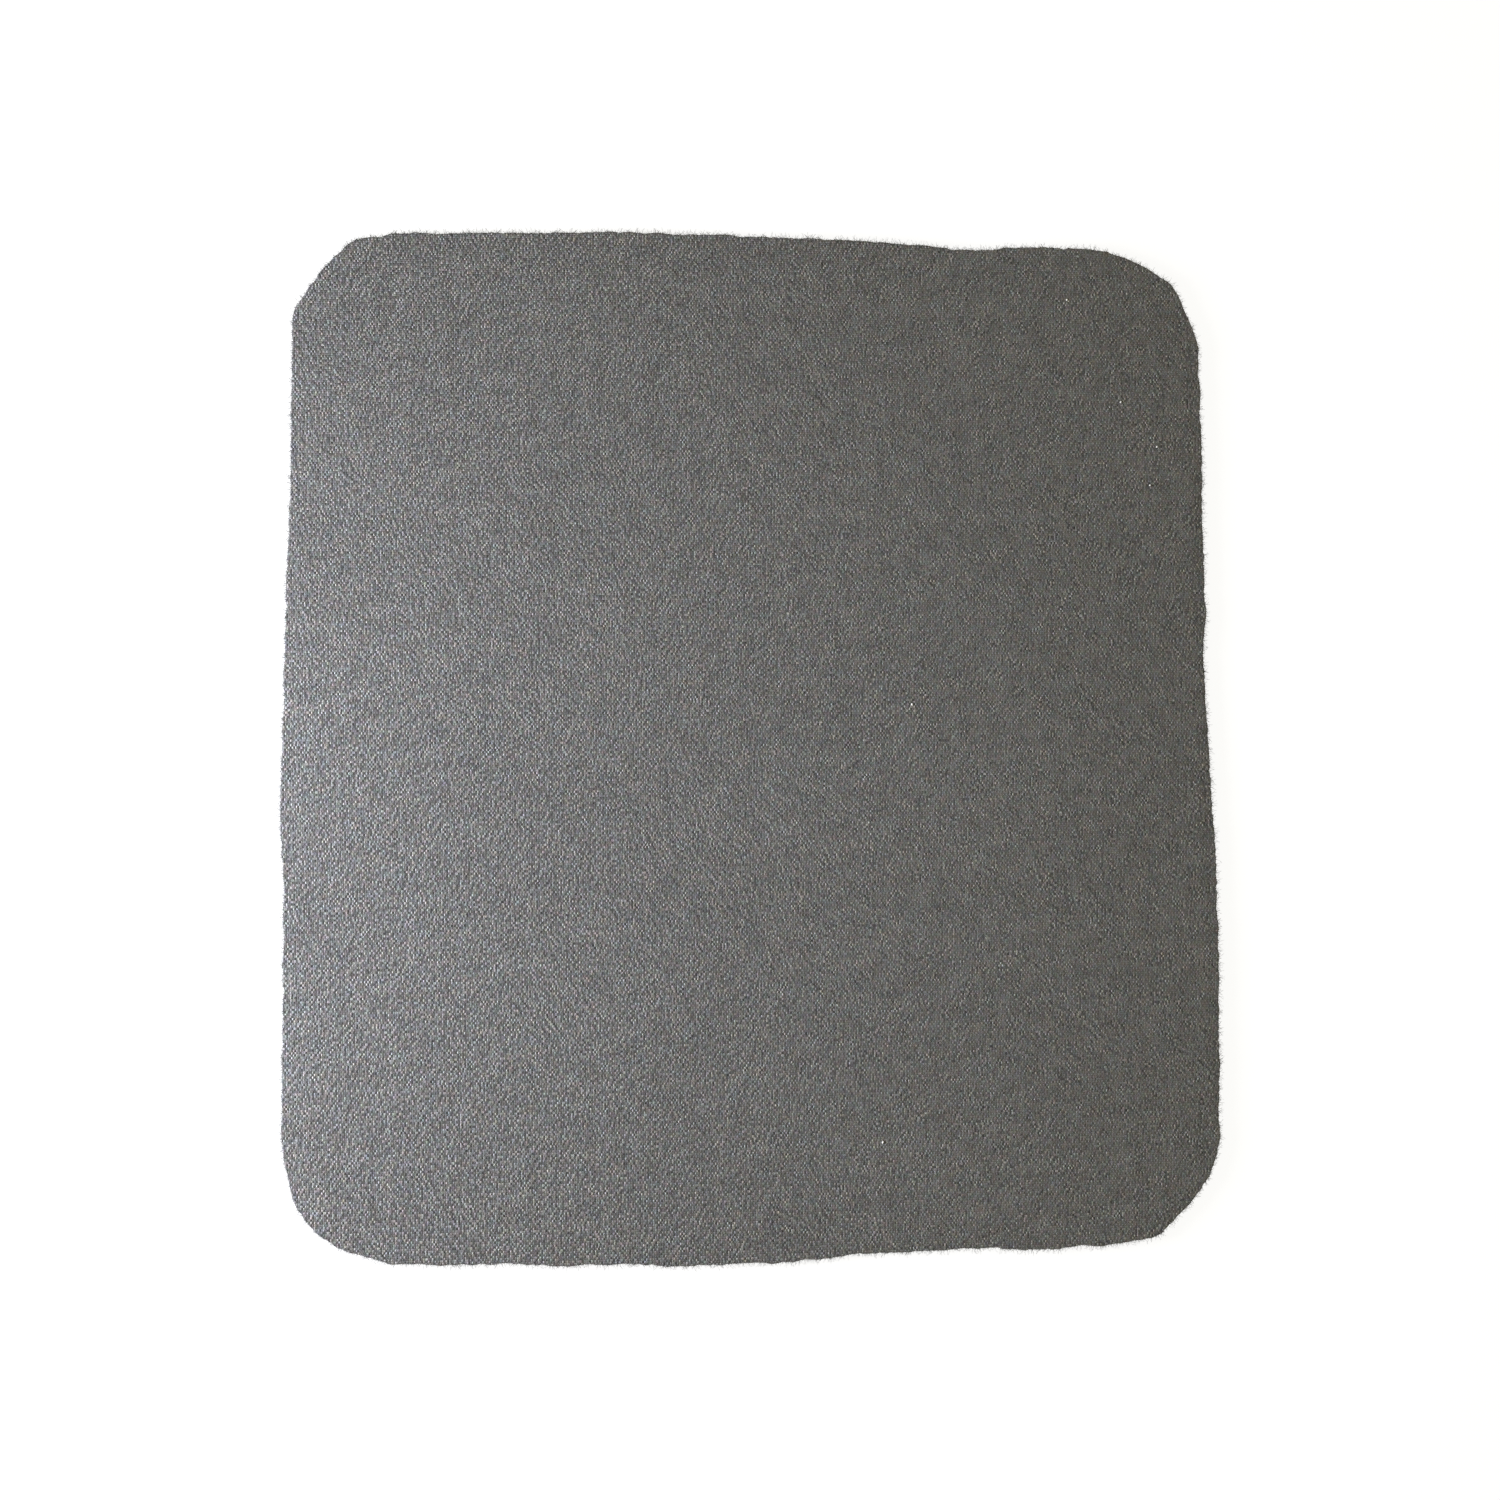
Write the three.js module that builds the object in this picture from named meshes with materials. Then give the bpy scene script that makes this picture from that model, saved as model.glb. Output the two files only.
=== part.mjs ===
import * as THREE from 'three';
import * as BufferGeometryUtils from 'three/addons/utils/BufferGeometryUtils.js';

// Mouse pad: woven cloth bonded to a foam rubber base by a film of glue, and cut out through all
// three by one die. Millimetres. +Z is up, +Y points away from the user and +X to the right. The
// origin is on the desk, under the middle of the pad.

// The outline that the die cuts
const padWidth = 200;
const padDepth = 220;
const cornerRadius = 26;
const cornerSteps = 16;

// The layers, from the desk up
const foamThickness = 2.4;
const filmThickness = 0.1;
const clothThickness = 0.5;

// The cut edge. The die squeezes the foam while it cuts, so the wall springs back hollow, and it
// rolls the rim of the cloth over. The film shrinks back from the edge as it sets.
const foamHollow = 0.35;
const foamShoulder = 0.12;
const filmShrink = 0.3;
const clothRimWidth = 0.45;
const clothRimDrop = 0.3;
const rimSteps = 4;
const hollowSteps = 6;

// Faces that meet at a sharper turn than this are shaded with a crisp edge between them
const creaseAngle = Math.PI / 5;

const colours = {
	cloth: 0x6b6b6c,
	film: 0xb9b6a8,
	foam: 0x1d1d1e,
};

// One turn round the outline, anticlockwise from above, drawn in from the die's line by inset. The
// corners keep their centres, so every turn has the same number of points.
function outline( inset ) {

	const halfWidth = padWidth / 2;
	const halfDepth = padDepth / 2;
	const centres = [
		[ halfWidth - cornerRadius, halfDepth - cornerRadius ],
		[ cornerRadius - halfWidth, halfDepth - cornerRadius ],
		[ cornerRadius - halfWidth, cornerRadius - halfDepth ],
		[ halfWidth - cornerRadius, cornerRadius - halfDepth ],
	];
	const radius = cornerRadius - inset;
	return centres.flatMap( ( [ x, y ], corner ) => {

		const start = corner * Math.PI / 2;
		const arc = new THREE.EllipseCurve( x, y, radius, radius, start, start + Math.PI / 2 );
		return arc.getPoints( cornerSteps );

	} );

}

// A closed solid through a stack of turns. A level is [inset, height], from the bottom one up.
function layer( levels ) {

	const turns = levels.map( ( [ inset ] ) => outline( inset ) );
	const count = turns[ 0 ].length;
	const positions = [];
	turns.forEach( ( points, index ) => {

		points.forEach( ( point ) => positions.push( point.x, point.y, levels[ index ][ 1 ] ) );

	} );

	const triangles = [];
	for ( let level = 0; level + 1 < levels.length; level ++ ) {

		for ( let step = 0; step < count; step ++ ) {

			const a = level * count + step;
			const b = level * count + ( step + 1 ) % count;
			triangles.push( a, b, b + count, a, b + count, a + count );

		}

	}

	const top = ( levels.length - 1 ) * count;
	THREE.ShapeUtils.triangulateShape( turns[ 0 ], [] ).forEach( ( [ a, b, c ] ) => {

		triangles.push( c, b, a );

	} );
	THREE.ShapeUtils.triangulateShape( turns.at( - 1 ), [] ).forEach( ( [ a, b, c ] ) => {

		triangles.push( top + a, top + b, top + c );

	} );

	const geometry = new THREE.BufferGeometry();
	geometry.setAttribute( 'position', new THREE.Float32BufferAttribute( positions, 3 ) );
	geometry.setIndex( triangles );
	return geometry;

}

function piece( name, geometry, height, material ) {

	const shaded = BufferGeometryUtils.toCreasedNormals( geometry, creaseAngle );
	const mesh = new THREE.Mesh( shaded, new THREE.MeshStandardMaterial( material ) );
	mesh.name = name;
	mesh.position.z = height;
	return mesh;

}

// Foam rubber base. Its wall is a half wave: hollow in the middle, and full at the desk and at the
// shoulder, which stays a little inside the rim of the cloth.
function foamBase() {

	const levels = [];
	for ( let step = 0; step <= hollowSteps; step ++ ) {

		const climbShare = step / hollowSteps;
		const hollow = foamHollow * Math.sin( climbShare * Math.PI );
		levels.push( [ hollow + foamShoulder * climbShare, foamThickness * climbShare ] );

	}

	return piece( 'foam_base', layer( levels ), 0, {
		color: colours.foam, roughness: 0.95, metalness: 0,
	} );

}

// Film of glue, sealed between the foam and the cloth
function bondingFilm() {

	const levels = [ [ filmShrink, 0 ], [ filmShrink, filmThickness ] ];
	return piece( 'bonding_film', layer( levels ), foamThickness, {
		color: colours.film, roughness: 0.5, metalness: 0,
	} );

}

// Woven cloth. The rim is rolled over as a quarter of an ellipse.
function topCloth() {

	const levels = [ [ 0, 0 ] ];
	for ( let step = 0; step <= rimSteps; step ++ ) {

		const angle = step / rimSteps * Math.PI / 2;
		levels.push( [
			clothRimWidth * ( 1 - Math.cos( angle ) ),
			clothThickness - clothRimDrop * ( 1 - Math.sin( angle ) ),
		] );

	}

	return piece( 'top_cloth', layer( levels ), foamThickness + filmThickness, {
		color: colours.cloth, roughness: 0.95, metalness: 0,
	} );

}

const mousePad = new THREE.Group();
mousePad.name = 'mouse_pad';
mousePad.add( foamBase(), bondingFilm(), topCloth() );

export default mousePad;
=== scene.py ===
import math
import random

import bmesh
import bpy
from bpy.props import FloatProperty, FloatVectorProperty, IntProperty, PointerProperty
from bpy.types import Operator, Panel, PropertyGroup
from mathutils import Matrix, Vector, noise
from mathutils.geometry import delaunay_2d_cdt


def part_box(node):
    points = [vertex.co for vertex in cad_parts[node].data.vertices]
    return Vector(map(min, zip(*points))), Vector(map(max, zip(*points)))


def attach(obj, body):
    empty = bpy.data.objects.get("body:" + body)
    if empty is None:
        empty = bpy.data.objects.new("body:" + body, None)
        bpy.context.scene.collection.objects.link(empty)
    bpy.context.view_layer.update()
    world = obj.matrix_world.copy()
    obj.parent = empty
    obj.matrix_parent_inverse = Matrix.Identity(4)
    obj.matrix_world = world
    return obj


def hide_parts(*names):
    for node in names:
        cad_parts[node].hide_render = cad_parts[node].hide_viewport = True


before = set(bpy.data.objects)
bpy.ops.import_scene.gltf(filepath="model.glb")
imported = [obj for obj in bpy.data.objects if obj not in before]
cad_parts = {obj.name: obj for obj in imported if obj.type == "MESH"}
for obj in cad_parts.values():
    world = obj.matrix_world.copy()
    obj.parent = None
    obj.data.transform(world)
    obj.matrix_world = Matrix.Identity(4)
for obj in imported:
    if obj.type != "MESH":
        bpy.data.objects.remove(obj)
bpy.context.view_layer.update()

bl_info = {
    "name": "Mouse Pad",
    "version": (1, 0, 0),
    "blender": (4, 5, 0),
    "location": "View3D > Sidebar > Mouse Pad",
    "description": "Makes a cloth-topped foam rubber mouse pad and the table that it lies on",
    "category": "Add Mesh",
}

MM = 0.001
BODY = "root"
_, FOAM_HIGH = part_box("foam_base")
FILM_LOW, FILM_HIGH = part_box("bonding_film")
CLOTH_LOW, CLOTH_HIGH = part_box("top_cloth")
HALF_WIDTH = FOAM_HIGH.x
HALF_DEPTH = FOAM_HIGH.y

# How far the soft edge stands outside the true rounded rectangle, in millimetres. Each row is a
# side or the corner after it, anticlockwise from above, and starts with the right side. Each pair
# is a share of that stretch and the bulge there.
EDGE_WAVES = (
    ((0, -0.4), (0.09, 0), (0.2, 0.6), (0.34, 0.6), (0.43, 0), (0.59, -0.7), (0.65, 0.1), (0.8, 0.1),
     (0.88, 0.5)),
    ((0, 0.4), (0.28, -0.2), (0.45, 0.5), (0.65, -0.4), (0.85, -0.3)),
    ((0, 0.1), (0.08, 0.3), (0.2, -0.9), (0.26, -0.1), (0.38, 0.6), (0.7, 0.8), (0.85, -0.1)),
    ((0, -0.9), (0.2, -0.6), (0.33, 0.6), (0.55, -0.2), (0.7, -0.1), (0.82, 0.4)),
    ((0, -0.3), (0.18, -0.3), (0.33, 0.3), (0.45, 0.5), (0.6, 0.9), (0.7, 0), (0.9, -0.2)),
    ((0, -0.2), (0.15, -0.4), (0.37, 0.6), (0.5, 0.5), (0.75, -0.7)),
    ((0, -0.8), (0.12, -0.5), (0.2, 0.3), (0.29, 0.3), (0.37, 1.2), (0.53, 1.1), (0.65, -0.1),
     (0.82, -0.4), (0.9, 0.3)),
    ((0, -0.3), (0.15, -0.1), (0.29, 1.1), (0.38, 0), (0.5, -0.4), (0.75, 0)),
)

# Bright scraps of lint that lie on the cloth: places in millimetres from the middle of the pad
LINT_PLACES = ((25, -87), (82, 75), (33, 7), (88, 56), (90, 65), (70, 98))

# The middle span of soft noise, which a finish stretches over the range that it needs. What lies
# outside the span is cut off
CLOUD_SPAN = (0.3, 0.7)


class EdgeSettings(PropertyGroup):
    """The line that the die cuts through all layers."""

    back_right_radius: FloatProperty(
        name="Back right radius", description="Radius of the far right corner", default=23.3 * MM,
        unit="LENGTH")
    back_left_radius: FloatProperty(
        name="Back left radius", description="Radius of the far left corner", default=26.8 * MM,
        unit="LENGTH")
    front_left_radius: FloatProperty(
        name="Front left radius", description="Radius of the near left corner", default=27.8 * MM,
        unit="LENGTH")
    front_right_radius: FloatProperty(
        name="Front right radius", description="Radius of the near right corner", default=27 * MM,
        unit="LENGTH")
    wave: FloatProperty(
        name="Wave", description="How much of the soft edge's slow waves shows", default=1.0,
        subtype="FACTOR")
    nibble: FloatProperty(
        name="Nibble", description="Height of the small bites along the cut", default=0.34 * MM,
        unit="LENGTH")
    nibble_size: FloatProperty(
        name="Nibble size", description="Length of the largest bites", default=5 * MM, unit="LENGTH")
    stops: IntProperty(
        name="Stops", description="Points round the cut line of the cloth and the foam", default=1600)


class ClothSettings(PropertyGroup):
    """The woven cloth that the mouse runs on."""

    cool_colour: FloatVectorProperty(
        name="Cool yarn", description="Colour of the cooler fibres", default=(0.156, 0.161, 0.167),
        subtype="COLOR")
    warm_colour: FloatVectorProperty(
        name="Warm yarn", description="Colour of the warmer fibres", default=(0.169, 0.161, 0.152),
        subtype="COLOR")
    warp_pitch: FloatProperty(
        name="Warp pitch", description="Distance between the yarns that run front to back",
        default=0.355 * MM, unit="LENGTH")
    weft_pitch: FloatProperty(
        name="Weft pitch", description="Distance between the yarns that run side to side",
        default=0.493 * MM, unit="LENGTH")
    relief: FloatProperty(
        name="Relief", description="Height of a yarn above the gap beside it", default=0.26 * MM,
        unit="LENGTH")
    heather: FloatProperty(
        name="Heather", default=2.28,
        description="Brightness of a crossing crowded with pale fibres against a middling one")
    thin_beside: FloatProperty(
        name="Thin beside", default=0.6, subtype="FACTOR",
        description="Share of the pale fibres in the crossing beside it that a crossing lacks")
    thin_behind: FloatProperty(
        name="Thin behind", default=0.32, subtype="FACTOR",
        description="Share of the pale fibres in the crossing behind it that a crossing lacks")
    scarcity: FloatProperty(
        name="Scarcity", description="How much scarcer than dark fibres the pale ones are", default=0.23,
        subtype="FACTOR")
    palest: FloatProperty(
        name="Palest", description="Brightness of the palest crossings against the middling ones",
        default=2.2)
    wear_size: FloatProperty(
        name="Wear", description="Width of a patch where the heather shows more or less", default=1.9 * MM,
        unit="LENGTH")
    # Painted shade: the share of the heather's contrast that is flattened on the right, standing in for the
    # duller light there
    shade_flattening: FloatProperty(
        name="Rub", description="Share of the heather that is rubbed away on the right",
        default=0.28, subtype="FACTOR")
    mottle: FloatProperty(
        name="Mottle", description="How much paler or darker a small patch of the cloth is", default=0.14,
        subtype="FACTOR")
    mottle_size: FloatProperty(
        name="Mottle size", description="Width of such a patch", default=3.6 * MM, unit="LENGTH")
    dye_drift: FloatProperty(
        name="Dye drift", description="How unevenly the fibres have taken each dye", default=0.42,
        subtype="FACTOR")
    dye_size: FloatProperty(
        name="Dye patch", description="Width of a patch that has taken a dye alike", default=1.1 * MM,
        unit="LENGTH")
    nap_size: FloatProperty(
        name="Nap patch", description="Width of a patch of cloth whose nap leans one way", default=55 * MM,
        unit="LENGTH")
    wander: FloatProperty(
        name="Wander", description="How far from side to side a yarn wanders", default=0.6 * MM,
        unit="LENGTH")
    wander_size: FloatProperty(
        name="Wander size", description="Distance over which a yarn wanders", default=7 * MM, unit="LENGTH")
    rim_width: FloatProperty(
        name="Rim width", description="Width of the rim that the die rolls over", default=0.45 * MM,
        unit="LENGTH")
    rim_drop: FloatProperty(
        name="Rim drop", description="How far the rim is rolled down", default=0.3 * MM, unit="LENGTH")
    pinch_width: FloatProperty(
        name="Pinch width", description="Width of the band beside the rim that the die has pressed",
        default=2.2 * MM, unit="LENGTH")
    pinch_depth: FloatProperty(
        name="Pinch depth", description="How far that band is pressed in", default=0.09 * MM, unit="LENGTH")
    swell: FloatProperty(
        name="Swell", description="Height of the slow waves across the cloth", default=0.1 * MM,
        unit="LENGTH")
    mesh_step: FloatProperty(
        name="Mesh step", description="Distance between the mesh's points across the cloth", default=2 * MM,
        unit="LENGTH")


class FraySettings(PropertyGroup):
    """The cut ends of the yarns round the rim, and the loose fibres that stand out between them."""

    shortest: FloatProperty(
        name="Shortest end", description="Least length of a cut yarn end", default=0.02 * MM, unit="LENGTH")
    longest: FloatProperty(
        name="Longest end", description="Greatest length of a cut yarn end", default=0.16 * MM,
        unit="LENGTH")
    yarn_radius: FloatProperty(
        name="Yarn radius", description="Radius of a cut end where it leaves the cloth", default=0.08 * MM,
        unit="LENGTH")
    fibre_count: IntProperty(
        name="Fibres", description="Number of loose fibres round the rim", default=13500)
    fibre_length: FloatProperty(
        name="Fibre length", description="Average length of a loose fibre", default=0.4 * MM, unit="LENGTH")
    fibre_limit: FloatProperty(
        name="Fibre limit", description="Greatest length of a loose fibre", default=1.3 * MM, unit="LENGTH")
    fibre_radius: FloatProperty(
        name="Fibre radius", description="Radius of a loose fibre", default=0.024 * MM, unit="LENGTH")
    fibre_colour: FloatVectorProperty(
        name="Fibre", description="Colour of the loose fibres", default=(0.155, 0.155, 0.155),
        subtype="COLOR")


class FilmSettings(PropertyGroup):
    """The film of glue between the cloth and the foam."""

    colour: FloatVectorProperty(
        name="Glue", description="Colour of the set glue", default=(0.36, 0.34, 0.28), subtype="COLOR")
    shrink: FloatProperty(
        name="Shrink", description="How far the film lies inside the cut edge", default=0.22 * MM,
        unit="LENGTH")
    unevenness: FloatProperty(
        name="Unevenness", description="How far the film's edge wanders", default=0.12 * MM, unit="LENGTH")


class FoamSettings(PropertyGroup):
    """The foam rubber base."""

    wall_colour: FloatVectorProperty(
        name="Cut foam", description="Colour of the cut wall", default=(0.024, 0.024, 0.025),
        subtype="COLOR")
    skin_colour: FloatVectorProperty(
        name="Skin", description="Colour of the moulded underside", default=(0.016, 0.016, 0.017),
        subtype="COLOR")
    hollow: FloatProperty(
        name="Hollow", description="How far the cut wall springs back halfway up", default=0.35 * MM,
        unit="LENGTH")
    shoulder: FloatProperty(
        name="Shoulder", description="How far the wall's top lies inside its foot", default=0.12 * MM,
        unit="LENGTH")
    cell: FloatProperty(
        name="Cell", description="Size of an air cell in the foam", default=0.22 * MM, unit="LENGTH")
    tear: FloatProperty(
        name="Tear", description="Roughness of the cut wall", default=0.05 * MM, unit="LENGTH")
    grip_pitch: FloatProperty(
        name="Grip pitch", description="Distance between the pits of the grip pattern", default=2.5 * MM,
        unit="LENGTH")
    grip_rib: FloatProperty(
        name="Grip rib", description="Width of the ribs between the pits", default=0.8 * MM, unit="LENGTH")
    grip_slope: FloatProperty(
        name="Grip slope", description="Width of a pit's sloping side", default=0.25 * MM, unit="LENGTH")
    grip_depth: FloatProperty(
        name="Grip depth", description="Depth of the pits", default=0.25 * MM, unit="LENGTH")


class LintSettings(PropertyGroup):
    """The lint that has settled on the cloth."""

    colour: FloatVectorProperty(
        name="Lint", description="Colour of the lint", default=(0.93, 0.93, 0.91), subtype="COLOR")
    length: FloatProperty(
        name="Length", description="Length of a scrap of lint", default=0.55 * MM, unit="LENGTH")
    radius: FloatProperty(
        name="Radius", description="Half the thickness of a scrap", default=0.19 * MM, unit="LENGTH")


class StageSettings(PropertyGroup):
    """The camera, the soft lamp, the light of the room and the table."""

    camera_place: FloatVectorProperty(
        name="Camera", description="Where the camera stands", default=(-39.6 * MM, -32.1 * MM, 354.9 * MM),
        subtype="TRANSLATION")
    camera_aim: FloatVectorProperty(
        name="Aim", description="The point that the camera looks at", default=(-2.4 * MM, -3.1 * MM, 3 * MM),
        subtype="TRANSLATION")
    camera_roll: FloatProperty(
        name="Roll", description="Turn of the camera about its own axis", default=math.radians(-0.56),
        subtype="ANGLE")
    camera_lens: FloatProperty(
        name="Lens", description="Focal length in millimetres for a 36 mm frame", default=39.65)
    lamp_place: FloatVectorProperty(
        name="Lamp", description="Where the soft lamp stands", default=(-0.26, -0.03, 0.12),
        subtype="TRANSLATION")
    lamp_size: FloatProperty(
        name="Lamp size", description="Width of the soft lamp", default=0.2, unit="LENGTH")
    lamp_power: FloatProperty(
        name="Lamp power", description="Power of the soft lamp in watts", default=2.0)
    lamp_colour: FloatVectorProperty(
        name="Lamp colour", description="Colour of the soft lamp", default=(0.865, 0.893, 1.0),
        subtype="COLOR")
    room_colour: FloatVectorProperty(
        name="Room colour", description="Colour of the light from the room", default=(1.0, 0.912, 0.6),
        subtype="COLOR")
    room_level: FloatProperty(
        name="Room level", description="Strength of the light from the room", default=0.405)
    table_size: FloatProperty(
        name="Table size", description="Width of the table top", default=4.0, unit="LENGTH")
    table_colour: FloatVectorProperty(
        name="Table", description="Colour of the table top", default=(0.8, 0.8, 0.8), subtype="COLOR")
    table_shade: FloatProperty(
        name="Table shade", description="Share of the light on the table that the camera sees", default=0.25,
        subtype="FACTOR")
    table_glow: FloatProperty(
        name="Table glow", description="Whiteness that the camera sees besides that light", default=0.9,
        subtype="FACTOR")


def ease(share):
    """A share from 0 to 1 that starts and ends gently."""
    return share * share * (3 - 2 * share)


def bulge_at(stretch, share):
    """How far the edge stands out at a share of a stretch's length, in metres."""
    stations = (*EDGE_WAVES[stretch], (1, EDGE_WAVES[(stretch + 1) % len(EDGE_WAVES)][0][1]))
    for (start, low), (end, high) in zip(stations, stations[1:]):
        if share <= end:
            break
    return (low + (high - low) * ease((share - start) / (end - start))) * MM


def corner_radii(edge):
    """The radii of the corners, anticlockwise from the far right one."""
    return edge.back_right_radius, edge.back_left_radius, edge.front_left_radius, edge.front_right_radius


class CutLine:
    """The line that the die cuts, anticlockwise from above, as evenly spaced stops. A stop is a
    place, the direction outwards there and how far the soft edge stands out."""

    def __init__(self, edge, count):
        radii = corner_radii(edge)
        sides = ((1, 1), (-1, 1), (-1, -1), (1, -1))
        centres = [
            Vector((side_x * (HALF_WIDTH - radius), side_y * (HALF_DEPTH - radius)))
            for (side_x, side_y), radius in zip(sides, radii)
        ]
        stretches = []
        for side in range(4):
            outwards = self.direction(side)
            start = centres[side - 1] + radii[side - 1] * outwards
            end = centres[side] + radii[side] * outwards
            stretches.append((side, start, end, 0, (end - start).length))
            stretches.append((side, centres[side], centres[side], radii[side], radii[side] * math.pi / 2))
        total = sum(stretch[-1] for stretch in stretches)
        bite_fade = 0.5
        bite_ratio = 2.3
        bite_layers = 4
        self.stops = []
        for index in range(count):
            way = total * index / count
            for number, (side, start, end, radius, length) in enumerate(stretches):
                if way < length:
                    break
                way -= length
            share = way / length
            outwards = self.direction(side + share if radius else side)
            place = start.lerp(end, share) + radius * outwards
            bulge = edge.wave * bulge_at(number, share)
            nibble = noise.fractal(
                place.to_3d() / edge.nibble_size, bite_fade, bite_ratio, bite_layers)
            self.stops.append((place, outwards, bulge + edge.nibble * nibble))

    @staticmethod
    def direction(quarters):
        """Outwards, after so many quarters of a turn from the right side."""
        angle = quarters * math.pi / 2
        return Vector((math.cos(angle), math.sin(angle)))

    def ring(self, inset, height, tear=0.0, grain=1 * MM):
        """Points at one height, drawn in from the cut. tear is how far the points stray, and grain
        the distance over which they do."""
        points = []
        for place, outwards, bulge in self.stops:
            stray = tear * noise.noise(Vector((place.x, place.y, height)) / grain)
            at = place + outwards * (bulge - inset + stray)
            points.append(Vector((at.x, at.y, height)))
        return points


def depth_inside(edge, x, y):
    """Distance from a point to a cut line without waves, positive inside. All its corners are taken
    to be as round as the near right one."""
    radius = edge.front_right_radius
    over_x = abs(x) - (HALF_WIDTH - radius)
    over_y = abs(y) - (HALF_DEPTH - radius)
    if over_x > 0 and over_y > 0:
        return radius - math.hypot(over_x, over_y)
    return min(HALF_WIDTH - abs(x), HALF_DEPTH - abs(y))


def bridge(bm, lower, upper):
    """Faces between two rings of as many points, facing outwards."""
    count = len(lower)
    for index in range(count):
        after = (index + 1) % count
        bm.faces.new((lower[index], lower[after], upper[after], upper[index]))


def loft(bm, rings):
    """A wall through rings of points, from the bottom one up. Gives back the rings' vertices."""
    turns = [[bm.verts.new(point) for point in points] for points in rings]
    for lower, upper in zip(turns, turns[1:]):
        bridge(bm, lower, upper)
    return turns


def cap(bm, rim, facing_up, inner=(), surface=None):
    """Triangles across a rim of vertices, by way of inner points. surface gives a point's height."""
    flat = [vertex.co.to_2d() for vertex in rim] + [Vector(point) for point in inner]
    count = len(rim)
    sides = [(index, (index + 1) % count) for index in range(count)]
    inside_only = 1
    nearest = 1e-9
    places, _, faces, origins, _, _ = delaunay_2d_cdt(flat, sides, [], inside_only, nearest)
    vertices = []
    for place, origin in zip(places, origins):
        if origin and origin[0] < count:
            vertices.append(rim[origin[0]])
        else:
            height = surface(place.x, place.y) if surface else rim[0].co.z
            vertices.append(bm.verts.new((place.x, place.y, height)))
    for face in faces:
        corners = [vertices[index] for index in face]
        bm.faces.new(corners if facing_up else reversed(corners))


def inner_grid(edge, step, margin):
    """Points of a square grid that lie deeper inside the cut line than margin."""
    points = []
    across = int(HALF_WIDTH / step)
    along = int(HALF_DEPTH / step)
    for column in range(-across, across + 1):
        for row in range(-along, along + 1):
            x, y = column * step, row * step
            if depth_inside(edge, x, y) > margin:
                points.append((x, y))
    return points


def tube(bm, points, radii, sides):
    """A closed tube through points, with a radius at each."""
    nearly_upright = 0.1
    turns = []
    for index, (point, radius) in enumerate(zip(points, radii)):
        before = points[max(index - 1, 0)]
        after = points[min(index + 1, len(points) - 1)]
        along = (after - before).normalized()
        across = along.cross(Vector((0, 0, 1)))
        if across.length < nearly_upright:
            across = along.cross(Vector((1, 0, 0)))
        across.normalize()
        upwards = across.cross(along)
        turn = []
        for side in range(sides):
            angle = 2 * math.pi * side / sides
            spoke = math.cos(angle) * across + math.sin(angle) * upwards
            turn.append(bm.verts.new(point + radius * spoke))
        turns.append(turn)
    for lower, upper in zip(turns, turns[1:]):
        bridge(bm, lower, upper)
    bm.faces.new(reversed(turns[0]))
    bm.faces.new(turns[-1])


def make_piece(name, bm, replaced=(), crease=math.radians(40)):
    """An object from a mesh, shaded smooth except at sharp creases, riding on the pad's body."""
    bmesh.ops.recalc_face_normals(bm, faces=bm.faces)
    mesh = bpy.data.meshes.new(name)
    bm.to_mesh(mesh)
    bm.free()
    mesh.shade_smooth()
    mesh.set_sharp_from_angle(angle=crease)
    piece = bpy.data.objects.new(name, mesh)
    bpy.context.scene.collection.objects.link(piece)
    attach(piece, BODY)
    if replaced:
        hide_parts(*replaced)
    return piece


class Nodes:
    """A node tree in the making. Each method adds nodes and gives back an output socket."""

    def __init__(self, owner):
        owner.use_nodes = True
        self.tree = owner.node_tree
        self.tree.nodes.clear()

    def add(self, kind, inputs, **settings):
        node = self.tree.nodes.new(kind)
        for name, value in settings.items():
            setattr(node, name, value)
        for name, value in inputs.items():
            self.plug(node.inputs[name], value)
        return node

    def plug(self, socket, value):
        if isinstance(value, bpy.types.NodeSocket):
            self.tree.links.new(value, socket)
        else:
            socket.default_value = value

    def math(self, operation, *values, clamp=False):
        inputs = dict(enumerate(values))
        return self.add("ShaderNodeMath", inputs, operation=operation, use_clamp=clamp).outputs[0]

    def seen(self):
        """1 where the camera sees the surface, straight, in a gloss or through something clear."""
        rays = self.add("ShaderNodeLightPath", {}).outputs
        seen = self.math("MAXIMUM", rays["Is Camera Ray"], rays["Is Glossy Ray"])
        return self.math("MAXIMUM", seen, rays["Is Transmission Ray"])


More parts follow.
